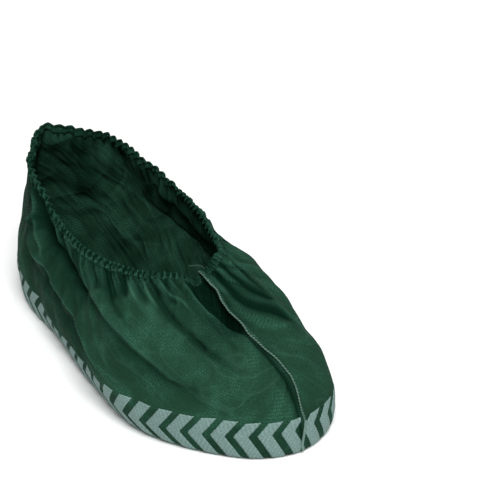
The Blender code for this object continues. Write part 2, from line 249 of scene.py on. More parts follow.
def run_lengths(points):
    """The way along each run of points to each of its points."""
    steps = np.linalg.norm(np.diff(points, axis=-2), axis=-1)
    return np.concatenate([np.zeros(steps.shape[:-1] + (1,)), np.cumsum(steps, axis=-1)], axis=-1)


def points_at(at, places, points):
    """The points at these places along one run of points."""
    return np.stack([np.interp(at, places, column) for column in np.transpose(points)], axis=-1)


def read_stations(around):
    """Every column of STATIONS at these places around the cover, on a smooth closed curve."""
    table = np.array([row[1:] for row in STATIONS], dtype=float)
    place = table[:, 0]
    knots = np.concatenate([[place[-1] - 1.0], place, place[:2] + 1.0])
    values = np.concatenate([table[-1:, 1:], table[:, 1:], table[:2, 1:]])
    slopes = (values[2:] - values[:-2]) / (knots[2:] - knots[:-2])[:, None]
    wrapped = np.asarray(around) % 1.0
    row = np.clip(np.searchsorted(place, wrapped, side="right") - 1, 0, len(place) - 1)
    step = (knots[row + 2] - knots[row + 1])[:, None]
    t = (wrapped - knots[row + 1])[:, None] / step
    smooth = (
        (2 * t**3 - 3 * t**2 + 1) * values[row + 1]
        + (t**3 - 2 * t**2 + t) * step * slopes[row]
        + (3 * t**2 - 2 * t**3) * values[row + 2]
        + (t**3 - t**2) * step * slopes[row + 1]
    )
    return dict(zip(Station._fields[2:], smooth.T))


def outward(around, x_column, y_column):
    """Level unit vectors that point out of the closed outline in these two columns."""
    ahead = read_stations(around + SLOPE_SHARE)
    behind = read_stations(around - SLOPE_SHARE)
    run_x = ahead[x_column] - behind[x_column]
    run_y = ahead[y_column] - behind[y_column]
    # The places run clockwise seen from above, so the outside is on the left of the run.
    left = np.stack([-run_y, run_x, np.zeros(len(run_x))], axis=1)
    return left / np.linalg.norm(left, axis=1)[:, None]


def smooth_wall(around, up):
    """The wall without its folds, a row of points for each place around, and each row's full length."""
    size = read_stations(around)
    foot = np.stack([size["sole_x"], size["sole_y"], np.zeros(len(around))], axis=1)
    foot_handle = foot + outward(around, "sole_x", "sole_y") * size["foot_out"][:, None]
    foot_handle[:, 2] += size["foot_up"]
    rim = np.stack([size["rim_x"], size["rim_y"], size["rim_z"]], axis=1)
    lip_handle = rim + outward(around, "rim_x", "rim_y") * size["lip_out"][:, None]
    lip_handle[:, 2] -= size["lip_drop"]
    t = np.linspace(0.0, 1.0, ARC_STEPS)[None, :, None]
    path = (
        (1 - t) ** 3 * foot[:, None]
        + 3 * (1 - t) ** 2 * t * foot_handle[:, None]
        + 3 * (1 - t) * t**2 * lip_handle[:, None]
        + t**3 * rim[:, None]
    )
    lengths = run_lengths(path)
    heights = np.broadcast_to(up, (len(foot), np.shape(up)[-1]))
    wall = [points_at(height * run[-1], run, points) for height, run, points in zip(heights, lengths, path)]
    return np.array(wall), lengths[:, -1]


def girth_at(up):
    """The way around the wall at this height, in millimetres."""
    return GIRTH_AT_SOLE + (GIRTH_AT_RIM - GIRTH_AT_SOLE) * up


def smooth_line(corners):
    """Points on a smooth curve through a fold's corners."""
    knots = np.array(corners)
    padded = np.concatenate([2 * knots[:1] - knots[1:2], knots, 2 * knots[-1:] - knots[-2:-1]])
    line = []
    for p0, p1, p2, p3 in zip(padded, padded[1:], padded[2:], padded[3:]):
        for t in np.arange(LINE_STEPS) / LINE_STEPS:
            cubic = 2 * p0 - 5 * p1 + 4 * p2 - p3 + t * (3 * (p1 - p2) + p3 - p0)
            line.append(p1 + 0.5 * t * (p2 - p0 + t * cubic))
    return np.array(line + [knots[-1]])


def fold_crest(fold, around, up):
    """One fold's height and its painted highlight line, as shares: full along its line, less beside and
    beyond it.
    """
    corners = smooth_line(fold.line)
    middle = corners[len(corners) // 2, 0]
    line = np.stack([(corners[:, 0] - middle) * girth_at(corners[:, 1]), corners[:, 1] * WALL_HEIGHT], axis=1)
    along = ((around - middle + 0.5) % 1.0 - 0.5) * girth_at(up)
    here = np.stack([along, up * WALL_HEIGHT], axis=-1)
    crest, crease = np.zeros(along.shape), np.zeros(along.shape)
    reach = FOLD_REACH * max(fold.before, fold.after)
    near = np.all((here > line.min(axis=0) - reach) & (here < line.max(axis=0) + reach), axis=-1)
    here = here[near]
    distance = np.full(len(here), np.inf)
    side = np.zeros(len(here))
    share = np.zeros(len(here))
    runs = np.diff(line, axis=0)
    lengths = run_lengths(line)
    for start, run, length in zip(line, runs, lengths):
        t = np.clip(((here - start) @ run) / (run @ run), 0.0, 1.0)
        away = here - (start + t[:, None] * run)
        gap = np.linalg.norm(away, axis=1)
        nearer = gap < distance
        distance = np.where(nearer, gap, distance)
        side = np.where(nearer, run[0] * away[:, 1] - run[1] * away[:, 0], side)
        share = np.where(nearer, (length + t * np.linalg.norm(run)) / lengths[-1], share)
    width = np.where(side > 0.0, fold.after, fold.before)
    strength = 1.0 - fade(share, *FOLD_END_FADE)
    if fold.line[0][1] < STARTS_AT_RIM:
        strength *= fade(share, *FOLD_START_FADE)
    crest[near] = strength * np.exp((fold.crest - np.hypot(distance, fold.crest)) / width)
    crease[near] = strength * np.exp(-(distance / CREASE_LINE) ** 2)
    return crest, crease


def lean_at(around, up):
    """The place around from which a gather comes that has leant over on its way down to here."""
    return around + GATHER_LEAN * 0.5 * (1.0 + np.cos(2.0 * np.pi * (around - GATHER_LEAN_AT))) * (1.0 - up)


def fold_by_lot(lot, kind, line):
    """A fold of this kind along a line, with its rise or sink and its widths drawn by lot."""
    rise = lot.choice((-1.0, 1.0)) * lot.uniform(*kind.rises)
    before, after = lot.uniform(*kind.widths), lot.uniform(*kind.widths)
    # A tuck drawn by lot gets painted shade in proportion to its depth.
    return Fold(kind.name, before, after, rise, kind.crest, max(0.0, -rise / TUCK_DEPTH), line)


def drawn_by_lot():
    """Pleats that run out of the hem, and faint packet creases across the sides."""
    lot = random.Random(FOLD_SEED)
    folds = []
    for index in range(HEM_PLEATS):
        place = (index + lot.uniform(-PLEAT_STRAYS, PLEAT_STRAYS)) / HEM_PLEATS
        ends = 1.0 - lot.uniform(*PLEAT_LENGTHS)
        lean = lot.uniform(*PLEAT_LEANS)
        line = []
        for height in (PLEAT_STARTS_AT, (1.0 + ends) / 2.0, ends):
            line.append((place - lean * (lean_at(place, height) - place), height))
        folds.append(fold_by_lot(lot, HEM_PLEAT, line))
    for _ in range(PACKET_CREASES):
        place, height = lot.uniform(0.0, 1.0), lot.uniform(*CREASE_HEIGHTS)
        half, slope = lot.uniform(*CREASE_HALVES), lot.gauss(*CREASE_SLOPES)
        line = []
        for end in (1.0, 0.0, -1.0):
            stray = lot.uniform(-CREASE_STRAYS, CREASE_STRAYS)
            line.append((place + end * half, height + end * half * slope + stray))
        folds.append(fold_by_lot(lot, PACKET_CREASE, line))
    return tuple(folds)


ALL_FOLDS = FOLDS + drawn_by_lot()


def calm_at_toe(turn, share):
    """What is left of a gather's height where the opening turns sharply at the toe and its folds crowd."""
    return 1.0 - share * np.exp(TOE_TURN * (np.cos(turn) - 1.0))


def gather_domes(gather, turn):
    """A gather's uneven height round the opening, and its domes: 1 on each crest and 0 in each valley."""
    phase = gather.waves * turn + gather.uneven * np.sin(3.0 * turn + gather.phase)
    phase += 0.5 * gather.uneven * np.sin(7.0 * turn + 2.0 * gather.phase)
    height = GATHER_HEIGHT + GATHER_SWAYS * np.sin(5.0 * turn + 3.0 * gather.phase)
    return height * calm_at_toe(turn, gather.calm), np.abs(np.sin(phase / 2.0))


def cloth_rise(around, up):
    """How far the folds lift the cloth off the smooth wall, and its marks for painted highlights and painted
    shade.
    """
    around, up = np.broadcast_arrays(around, up)
    rise = np.zeros(around.shape)
    highlight_and_print = np.zeros(around.shape)
    painted_shade = np.zeros(around.shape)
    stands_clear = np.zeros(around.shape)
    for fold in ALL_FOLDS:
        crest, crease = fold_crest(fold, around, up)
        rise += fold.rise * crest
        sharp = SHARPEST / max(SHARPEST, fold.crest)
        # Ridges get a painted highlight along their line, and tucks and hollows get painted shade.
        highlight_and_print = np.maximum(highlight_and_print, crease * sharp * np.clip(fold.rise / RIDGE_RISE, 0.0, 1.0))
        stands_clear = np.maximum(stands_clear, crest**3 * (fold.rise > RIDGE_RISE))
        painted_shade = np.maximum(painted_shade, np.minimum(1.0, fold.dark * crest ** TUCK_SPREAD))
    painted_shade *= 1.0 - CLEAR_OF_TUCK * stands_clear
    turn = 2.0 * np.pi * around
    for swell in SWELLS:
        upwards = 2.0 * np.pi * swell.crests_up * up
        rise += swell.rise * np.sin(swell.crests_round * turn + upwards + swell.phase)
    from_seam = np.abs((2.0 * around + 0.5) % 1.0 - 0.5) / 2.0 * girth_at(up)
    rise *= fade(up, *FOLDS_DIE_AT) * fade(from_seam, *FOLDS_CALM_BY_SEAM)
    rise *= 1.0 - FOLDS_HELD_AT_RIM * fade(up, *FOLDS_HELD_FROM)
    rise += SEAM_RIDGE * np.exp(-from_seam / SEAM_RIDGE_WIDTH) * fade(up, *FOLDS_DIE_AT)
    turn = 2.0 * np.pi * lean_at(around, up)
    below = (1.0 - up) * WALL_HEIGHT
    held = GATHERS_HELD + (1.0 - GATHERS_HELD) * fade(below, *GATHERS_FREE)
    # Painted shade on the band under the rim and in the gathers' valleys, and painted highlights on their
    # crests.
    painted_shade = np.maximum(painted_shade, SHADE_UNDER_HEM * (1.0 - fade(below, *SHADE_UNDER_HEM_FADES)))
    for gather in GATHERS:
        height, dome = gather_domes(gather, turn)
        strength = height * (1.0 - fade(below, 0.0, gather.fades_over))
        rise += 2.0 * gather.rise * strength * (dome - MEAN_OF_SINE) * held
        painted_shade = np.maximum(painted_shade, GATHER_VALLEY_SHADE * strength * np.exp(-dome / GATHER_VALLEY))
        highlight_and_print = np.maximum(highlight_and_print, GATHER_CREST_HIGHLIGHT * strength * fade(dome, GATHER_CREST_FROM, 1.0))
    return rise, np.stack([highlight_and_print, painted_shade], axis=-1)


def wall_points(around, up, proud=0.0):
    """The outer face of the wall with its folds, lifted by proud, its unit normals and its marks."""
    wall, _ = smooth_wall(around, up)
    ahead, _ = smooth_wall(around + SLOPE_SHARE, up)
    behind, _ = smooth_wall(around - SLOPE_SHARE, up)
    higher, _ = smooth_wall(around, np.minimum(up + SLOPE_SHARE, 1.0))
    lower, _ = smooth_wall(around, np.maximum(up - SLOPE_SHARE, 0.0))
    normal = np.cross(higher - lower, ahead - behind)
    normal /= np.linalg.norm(normal, axis=2)[..., None]
    rise, marks = cloth_rise(around[:, None], up)
    wall = wall + normal * (rise + proud)[..., None]
    aside = np.abs((around[:, None] + 0.5) % 1.0 - 0.5) * girth_at(up)
    pull = np.interp(up, *np.array(SEAM_PULL).T)
    wall[..., 0] -= pull * np.exp(-(aside / SEAM_PULL_WIDTH) ** 2)
    return wall, normal, marks


def wall_lengths(around):
    """The length of the wall from the sole's edge to the opening's edge, in millimetres."""
    return smooth_wall(around, np.array([0.0]))[1]


def half_hoops(places, wall_rows):
    """One side of each hoop of cloth, round the sole's edge and up the wall, and its marks."""
    lengths = wall_lengths(places)
    first = SOLE_EDGE_RADIUS / lengths
    last = 1.0 - BODY_ENDS_BELOW_RIM / lengths
    up = first[:, None] + np.linspace(0.0, 1.0, wall_rows)[None, :] * (last - first)[:, None]
    wall, _, marks = wall_points(places, up)
    # The cloth that shows between the printed chevrons is darker than the rest.
    printed = 1.0 - fade(up * lengths[:, None], *GROUND_FADES)
    marks[..., 1] = np.maximum(marks[..., 1], UNDER_PRINT * printed)
    foot, _ = smooth_wall(places, np.array([0.0]))
    inner = foot - outward(places, "sole_x", "sole_y")[:, None] * SOLE_EDGE_RADIUS
    t = (np.arange(CORNER_ROWS) / CORNER_ROWS)[None, :, None]
    corner = (1 - t) ** 2 * inner + 2 * (1 - t) * t * foot + t**2 * wall[:, :1]
    return np.concatenate([corner, wall], axis=1), np.pad(marks, ((0, 0), (CORNER_ROWS, 0), (0, 0)), "edge")


def to_metres(points):
    """Points in millimetres from the ground, in the frame's metres from the inner sole face."""
    return (np.asarray(points) - np.array([0.0, 0.0, SOLE_DROP])) * MM


def add_mesh(name, points, faces, material):
    """A smooth mesh of points in millimetres from the ground."""
    mesh = bpy.data.meshes.new(name)
    mesh.from_pydata(to_metres(points).tolist(), [], faces)
    mesh.shade_smooth()
    mesh.materials.append(material)
    piece = bpy.data.objects.new(name, mesh)
    bpy.context.scene.collection.objects.link(piece)
    return piece


def thicken(piece, thickness, offset):
    """Makes a sheet of faces a closed wall, in millimetres, and applies it."""
    wall = piece.modifiers.new("thickness", "SOLIDIFY")
    wall.thickness = thickness * MM
    wall.offset = offset
    shape = bpy.data.meshes.new_from_object(piece.evaluated_get(bpy.context.evaluated_depsgraph_get()))
    piece.modifiers.clear()
    piece.data = shape


def grid_faces(number):
    """Quads between neighbours in a grid of numbered points, without the sides that have shrunk to a point,
    and the rows and columns of all their corners."""
    faces, corners = [], []
    for i in range(number.shape[0] - 1):
        for j in range(number.shape[1] - 1):
            loop = ((i, j), (i + 1, j), (i + 1, j + 1), (i, j + 1))
            kept = [spot for k, spot in enumerate(loop) if number[spot] != number[loop[k - 1]]]
            if len(kept) > 2:
                faces.append([int(number[spot]) for spot in kept])
                corners.extend(kept)
    return faces, tuple(np.transpose(corners))


def number_grid(rows, columns):
    """The numbers of a grid's points, row by row."""
    return np.arange(rows * columns).reshape(rows, columns)


def linear(hex_colour):
    """An sRGB hex colour as linear light with full alpha."""
    shares = [int(hex_colour[i:i + 2], 16) / 255.0 for i in (1, 3, 5)]
    return tuple(s / 12.92 if s <= 0.04045 else ((s + 0.055) / 1.055) ** 2.4 for s in shares) + (1.0,)


def add_node(tree, kind, settings, links=()):
    """Adds a shader node. A setting is an input socket, by number or name, or else a property. A link goes
    from a socket, or from the first output in use of a node, to an input."""
    node = tree.nodes.new("ShaderNode" + kind)
    for key, value in settings.items():
        if isinstance(key, int) or key in node.inputs:
            node.inputs[key].default_value = value
        else:
            setattr(node, key, value)
    for key, source in dict(links).items():
        if hasattr(source, "outputs"):
            source = next(output for output in source.outputs if output.enabled)
        tree.links.new(source, node.inputs[key])
    return node


def new_material(name):
    """An empty material and its node tree."""
    material = bpy.data.materials.new(name)
    material.use_nodes = True
    material.node_tree.nodes.clear()
    return material, material.node_tree


# Spunbond nonwoven: fibres laid at random and welded by a grid of hot points. Between the points it is soft
# and matt, the points are smooth and get painted glints in patches, and the web's uneven weight makes faint
# clouds. The real points are about 1 mm apart, drawn at 1.8 mm so that they show. Long shallow crumples with
# sharp crests cross the web both ways. Crests get painted highlights, and painted shade turns hollows and
# valleys nearly black.
NONWOVEN_GREEN = linear("#214333")
NONWOVEN_DEEP = linear("#1b3829")
NONWOVEN_HIGHLIGHT = linear("#4f8570")
NONWOVEN_PAINTED_SHADE = linear("#051d13")
SHEEN_GREEN = linear("#1f6b4a")
POINT_PITCH = 1.8
DIAGONAL = (0.0, 0.0, math.radians(45.0))
CLOUD_SIZE = 22.0
FIBRE_SIZE = 0.9
CREASE_SHOWS = 0.012
CREST_HIGHLIGHT = 0.4
FIBRE_RISE = 0.07
POINT_SINKS = 0.15
CrumpleLayer = namedtuple("CrumpleLayer", "across along turn rise")
CRUMPLES = (
    CrumpleLayer(5.0, 18.0, -55.0, -0.5),
    CrumpleLayer(13.0, 50.0, -62.0, -2.6),
    CrumpleLayer(28.0, 95.0, 48.0, -7.0),
)


def spunbond(name, base, deep, highlight_and_print_colour):
    """Spunbond polypropylene. It reads the cloth_mm map and the marks for painted highlights and painted
    shade.
    """
    material, tree = new_material(name)
    along = add_node(tree, "UVMap", {"uv_map": "cloth_mm"})
    turned = add_node(tree, "Mapping", {"Rotation": DIAGONAL}, {"Vector": along})
    points = add_node(
        tree, "TexVoronoi", {"voronoi_dimensions": "2D", "Scale": 1.0 / POINT_PITCH, "Randomness": 0.4},
        {"Vector": turned},
    )
    point = add_node(tree, "MapRange", {"From Min": 0.42, "From Max": 0.16}, {"Value": points})
    clouds = add_node(
        tree, "TexNoise", {"noise_dimensions": "2D", "Scale": 1.0 / CLOUD_SIZE, "Detail": 3.0},
        {"Vector": along},
    )
    fibres = add_node(
        tree, "TexNoise",
        {"noise_dimensions": "2D", "Scale": 1.0 / FIBRE_SIZE, "Detail": 4.0, "Distortion": 1.2},
        {"Vector": along},
    )
    cloudy = add_node(tree, "MapRange", {"From Min": 0.3, "From Max": 0.7}, {"Value": clouds})
    web = add_node(tree, "Mix", {"data_type": "RGBA", 6: deep, 7: base}, {0: cloudy})
    fibrous = add_node(
        tree, "MapRange", {"From Min": 0.3, "From Max": 0.7, "To Min": 0.7, "To Max": 1.3}, {"Value": fibres}
    )
    shaded = add_node(
        tree, "Mix", {"data_type": "RGBA", "blend_type": "MULTIPLY", 0: 1.0}, {6: web, 7: fibrous}
    )
    patches = add_node(
        tree, "MapRange", {"From Min": 0.47, "From Max": 0.62, "To Min": 0.03, "To Max": 0.22},
        {"Value": clouds},
    )
    point_share = add_node(tree, "Math", {"operation": "MULTIPLY"}, {0: point, 1: patches})
    # Weld points get painted glints: the highlight colour, in patches.
    with_painted_glints = add_node(tree, "Mix", {"data_type": "RGBA", 7: highlight_and_print_colour}, {0: point_share, 6: shaded})
    crumpled = None
    for layer in CRUMPLES:
        laid = add_node(
            tree, "Mapping",
            {"vector_type": "TEXTURE", "Rotation": (0.0, 0.0, math.radians(layer.turn)),
             "Scale": (layer.across, layer.along, 1.0)},
            {"Vector": along},
        )
        wander = add_node(
            tree, "TexNoise", {"noise_dimensions": "2D", "Scale": 1.0, "Detail": 1.5, "Roughness": 0.4},
            {"Vector": laid},
        )
        centred = add_node(tree, "Math", {"operation": "SUBTRACT", 1: 0.5}, {0: wander})
        from_crest = add_node(tree, "Math", {"operation": "ABSOLUTE"}, {0: centred})
        terms = {0: from_crest, 2: crumpled} if crumpled else {0: from_crest}
        crumpled = add_node(tree, "Math", {"operation": "MULTIPLY_ADD", 1: layer.rise, 2: 0.0}, terms)
    # Crumple crests get a painted highlight, and so do the crests that the mesh marks.
    crumple_highlight = add_node(
        tree, "MapRange", {"From Min": 0.0, "From Max": CREASE_SHOWS, "To Min": 0.2, "To Max": 0.0},
        {"Value": from_crest},
    )
    crests = add_node(tree, "Attribute", {"attribute_name": "highlight_and_print"}).outputs["Fac"]
    crest_share = add_node(tree, "Math", {"operation": "MAXIMUM"}, {0: crests, 1: crumple_highlight})
    highlight_share = add_node(tree, "Math", {"operation": "MULTIPLY", 1: CREST_HIGHLIGHT}, {0: crest_share})
    with_painted_highlights = add_node(tree, "Mix", {"data_type": "RGBA", 7: highlight_and_print_colour}, {0: highlight_share, 6: with_painted_glints})
    # Painted shade: nearly black where the mesh's shade mark is full.
    painted_shade_share = add_node(tree, "Attribute", {"attribute_name": "painted_shade"}).outputs["Fac"]
    colour = add_node(tree, "Mix", {"data_type": "RGBA", 7: NONWOVEN_PAINTED_SHADE}, {0: painted_shade_share, 6: with_painted_highlights})
    rough = add_node(tree, "MapRange", {"To Min": 0.8, "To Max": 0.55}, {"Value": point})
    hairy = add_node(tree, "Math", {"operation": "MULTIPLY_ADD", 1: FIBRE_RISE}, {0: fibres, 2: crumpled})
    height = add_node(
        tree, "Math", {"operation": "MULTIPLY_ADD", 1: -POINT_SINKS}, {0: point_share, 2: hairy}
    )
    bump = add_node(tree, "Bump", {"Strength": 1.0, "Distance": MM}, {"Height": height})
    shader = add_node(
        tree, "BsdfPrincipled",
        {"IOR": 1.49, "Specular IOR Level": 0.02, "Sheen Weight": 0.02, "Sheen Roughness": 0.5,
         "Sheen Tint": SHEEN_GREEN},
        {"Base Color": colour, "Roughness": rough, "Normal": bump},
    )
    add_node(tree, "OutputMaterial", {}, {"Surface": shader})
    return material


def mark_cloth(mesh, uv, marks):
    """Gives a mesh its millimetre map, per face corner, and its painted highlight and shade marks, per point.
    """
    layer = mesh.uv_layers.new(name="cloth_mm")
    layer.data.foreach_set("uv", np.asarray(uv, dtype=np.float32).ravel())
    for name, values in zip(("highlight_and_print", "painted_shade"), np.asarray(marks, dtype=np.float32).reshape(-1, 2).T):
        attribute = mesh.attributes.new(name, "FLOAT", "POINT")
        attribute.data.foreach_set("value", np.ascontiguousarray(values))


steps = np.linspace(0.0, 1.0, HOOPS + 1)
places = 0.5 * steps * (1.0 - HOOPS_CLOSER_AT_TOE * (1.0 - steps))
right_half, right_marks = half_hoops(places, RIGHT_WALL_ROWS)
left_half, left_marks = half_hoops((1.0 - places) % 1.0, LEFT_WALL_ROWS)
across = (np.arange(1, SOLE_COLUMNS) / SOLE_COLUMNS)[None, :, None]
sole = right_half[:, :1] * (1 - across) + left_half[:, :1] * across
hoops = np.concatenate([right_half[:, ::-1], sole, left_half], axis=1)
hoop_marks = np.concatenate([right_marks[:, ::-1], np.zeros(sole.shape[:2] + (2,)), left_marks], axis=1)
rows, columns = hoops.shape[:2]
number = number_grid(rows, columns)
# At the toe and heel seams the blank's two edges meet, and the hoop has no width left under the sole.
right_end = right_half.shape[1]
left_start = columns - left_half.shape[1]
for end in (0, -1):
    number[end, right_end - 1:left_start + 1] = number[end, right_end - 1]
kept, number = np.unique(number, return_inverse=True)
number = number.reshape(rows, columns)

# The map runs along the blank from the toe, and out from the middle of the sole along each hoop.
hoop_arcs = run_lengths(hoops)
hoop_arcs -= hoop_arcs[:, (right_end + left_start) // 2][:, None]
faces, corners = grid_faces(number)
body_uv = np.stack([places[corners[0]] * GIRTH_AT_SOLE, hoop_arcs[corners]], axis=1)
nonwoven = spunbond("spunbond_nonwoven", NONWOVEN_GREEN, NONWOVEN_DEEP, NONWOVEN_HIGHLIGHT)
body = add_mesh("cloth_cover", hoops.reshape(-1, 3)[kept], faces, nonwoven)
mark_cloth(body.data, body_uv, hoop_marks.reshape(-1, 2)[kept])
thicken(body, CLOTH_THICKNESS, -1.0)
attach(body, "root")
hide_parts("cloth_body")

# Elastic hem. The blank's upper edge turned inwards over a stretched elastic thread and stitched down, so
# that it draws up into close pleats. It is the same nonwoven, doubled and a little darker, with painted shade
# in its pleats' valleys and painted highlights on their crests.
HEM_HEIGHT = 6.5
HEM_THICKNESS = 0.4
HEM_PROUD = 0.35
HEM_JOINS_OVER = 2.5
HEM_TURN_RADIUS = 0.6
HEM_COLUMNS = 1200
HEM_OUTER_ROWS = 14
HEM_TURN_ROWS = 5
HEM_INNER_ROWS = 8
HEM_INNER_HEIGHT = 6.0
HEM_FINE_PLEATS = 171
HEM_PLEAT_RISE = 0.6
HEM_PLEAT_SWAYS = (0.85, 0.4)
HEM_SWAY_COUNTS = (9.0, 23.0)
HEM_FINE_SHARE = 0.3
HEM_FINE_WANDERS = (2.2, 11.0)
HEM_SINKS = 0.8
HEM_CREST_HIGHLIGHT = 0.7
HEM_CRESTS = (0.25, 0.5)
HEM_VALLEYS = (0.2, -0.3)
STITCHES_BELOW_RIM = 4.6
STITCH_PITCH = 2.7
STITCH_SHARE = 0.45
STITCH_RADIUS = 0.13
STITCH_LIFTS = (-1.0, 0.6, 1.0, 0.6, -1.0)
THREAD_ROUNDNESS = 2
# What runs round under the rim: the elastic's bulge, the stitches' groove, and their hold on the pleats.
HemBand = namedtuple("HemBand", "below width size")
ELASTIC_BULGE = HemBand(1.9, 0.9, 0.45)
STITCH_GROOVE = HemBand(STITCHES_BELOW_RIM, 0.7, 0.35)
STITCH_HOLD = HemBand(STITCHES_BELOW_RIM, 1.0, 0.45)
HEM_GREEN = linear("#1b3b2d")
HEM_DEEP = linear("#132e23")
HEM_HIGHLIGHT = linear("#3a6754")
THREAD_GREY_GREEN = linear("#466a5c")


def hem_pleats(around):
    """The pleats' height: the cloth's finest gathers, drawn up, with finer ones on them."""
    turn = 2.0 * np.pi * around
    _, dome = gather_domes(GATHERS[-1], turn)
    mean, sways = HEM_PLEAT_SWAYS
    slow, quick = HEM_SWAY_COUNTS
    height = mean + sways * np.sin(slow * turn + 1.0) * np.sin(quick * turn)
    height *= calm_at_toe(turn, GATHERS[-1].calm)
    wander, count = HEM_FINE_WANDERS
    fine = np.sin(HEM_FINE_PLEATS * turn + wander * np.sin(count * turn + 2.1))
    return HEM_PLEAT_RISE * height * (2.0 * (dome - MEAN_OF_SINE) + HEM_FINE_SHARE * fine)


def across_hem(band, below):
    """How much of a band there is at these distances below the rim."""
    return band.size * np.exp(-((below - band.below) / band.width) ** 2)


def hem_face(around, below, proud):
    """Points on the hem's face, so many millimetres below the rim, with normals and marks."""
    up = 1.0 - below[None, :] / wall_lengths(around)[:, None]
    points, normal, cloth_marks = wall_points(around, up, proud)
    pleat = hem_pleats(around)[:, None]
    clear = fade(HEM_HEIGHT - below, 0.0, HEM_JOINS_OVER)
    held = (1.0 - across_hem(STITCH_HOLD, below)) * clear
    bulge = across_hem(ELASTIC_BULGE, below) - across_hem(STITCH_GROOVE, below)
    bulge -= HEM_SINKS * max(proud, 0.0) * (1.0 - clear)
    points = points + normal * (pleat * held[None, :] + bulge[None, :])[..., None]
    # Pleat crests get a painted highlight, and pleat valleys painted shade.
    marks = np.stack([HEM_CREST_HIGHLIGHT * fade(pleat, *HEM_CRESTS), fade(pleat, *HEM_VALLEYS)], axis=-1)
    joins = (1.0 - clear)[None, :, None]
    return points, normal, marks * (1.0 - joins) + cloth_marks * joins


hem_around = np.arange(HEM_COLUMNS) / HEM_COLUMNS
outer, _, outer_marks = hem_face(hem_around, np.linspace(HEM_HEIGHT, 0.0, HEM_OUTER_ROWS), HEM_PROUD)
turned_in = HEM_PROUD - 2 * HEM_TURN_RADIUS
inner, _, _ = hem_face(hem_around, np.linspace(0.0, HEM_INNER_HEIGHT, HEM_INNER_ROWS), turned_in)
rim_up = outer[:, -1] - outer[:, -2]
rim_up /= np.linalg.norm(rim_up, axis=1)[:, None]
turn_angles = np.pi * np.arange(1, HEM_TURN_ROWS) / HEM_TURN_ROWS
turn_centre = (outer[:, -1] + inner[:, 0]) / 2.0
turned_edge = (
    turn_centre[:, None]
    + (outer[:, -1] - turn_centre)[:, None] * np.cos(turn_angles)[None, :, None]
    + (rim_up * HEM_TURN_RADIUS)[:, None] * np.sin(turn_angles)[None, :, None]
)
hem_rows = np.concatenate([outer, turned_edge, inner], axis=1)
hem_rows = np.concatenate([hem_rows, hem_rows[:1]])
hem_number = number_grid(HEM_COLUMNS, hem_rows.shape[1])
hem_number = np.concatenate([hem_number, hem_number[:1]])
hem_faces, hem_corners = grid_faces(hem_number.T)
hem_along = hem_corners[1] * GIRTH_AT_SOLE / HEM_COLUMNS
hem_uv = np.stack([hem_along, run_lengths(hem_rows).T[hem_corners]], axis=1)
hem_marks = np.pad(outer_marks, ((0, 0), (0, hem_rows.shape[1] - HEM_OUTER_ROWS), (0, 0)))
hem_cloth = spunbond("spunbond_hem", HEM_GREEN, HEM_DEEP, HEM_HIGHLIGHT)
hem = add_mesh("gathered_hem", hem_rows[:-1].reshape(-1, 3), hem_faces, hem_cloth)
mark_cloth(hem.data, hem_uv, hem_marks)
thicken(hem, HEM_THICKNESS, -1.0)


def spun_thread(name, colour):
    """Spun polyester sewing thread: twisted plies that make fine slanting ribs with a soft gloss."""
    material, tree = new_material(name)
    where = add_node(tree, "TexCoord", {}).outputs["Object"]
    plies = add_node(
        tree, "TexWave",
        {"wave_type": "BANDS", "bands_direction": "DIAGONAL", "Scale": 0.35 / MM, "Distortion": 1.5},
        {"Vector": where},
    ).outputs["Fac"]
    shade = add_node(tree, "MapRange", {"To Min": 0.75, "To Max": 1.1}, {"Value": plies})
    tinted = add_node(
        tree, "Mix", {"data_type": "RGBA", "blend_type": "MULTIPLY", 0: 1.0, 6: colour}, {7: shade}
    )
    bump = add_node(tree, "Bump", {"Strength": 0.4, "Distance": 0.05 * MM}, {"Height": plies})
    shader = add_node(
        tree, "BsdfPrincipled", {"Roughness": 0.6, "IOR": 1.53, "Specular IOR Level": 0.3},
        {"Base Color": tinted, "Normal": bump},
    )
    add_node(tree, "OutputMaterial", {}, {"Surface": shader})
    return material


def add_threads(name, runs, radius, material):
    """A curve object with one round thread along each run of points, in millimetres from the ground."""
    curve = bpy.data.curves.new(name, "CURVE")
    curve.dimensions = "3D"
    curve.bevel_depth = radius * MM
    curve.bevel_resolution = THREAD_ROUNDNESS
    curve.use_fill_caps = True
    for run in runs:
        spline = curve.splines.new("POLY")
        spline.points.add(len(run) - 1)
        spline.points.foreach_set("co", np.pad(to_metres(run), ((0, 0), (0, 1)), constant_values=1.0).ravel())
    curve.materials.append(material)
    piece = bpy.data.objects.new(name, curve)
    bpy.context.scene.collection.objects.link(piece)
    return piece


thread = spun_thread("spun_polyester_thread", THREAD_GREY_GREEN)
stitch_count = round(GIRTH_AT_RIM / STITCH_PITCH)
stitch_lift = STITCH_RADIUS * np.array(STITCH_LIFTS)
stitch_share = np.linspace(0.0, STITCH_SHARE, len(stitch_lift))
stitch_around = (np.arange(stitch_count)[:, None] + stitch_share[None, :]).ravel() / stitch_count
stitch_line, stitch_normal, _ = hem_face(stitch_around, np.array([STITCHES_BELOW_RIM]), HEM_PROUD)
stitch_line = stitch_line[:, 0] + stitch_normal[:, 0] * np.tile(stitch_lift, stitch_count)[:, None]
stitch_runs = stitch_line.reshape(stitch_count, len(stitch_lift), 3)
hem_stitches = add_threads("hem_stitches", stitch_runs, STITCH_RADIUS, thread)
for piece in (hem, hem_stitches):
    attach(piece, "root")
    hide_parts("elastic_hem")

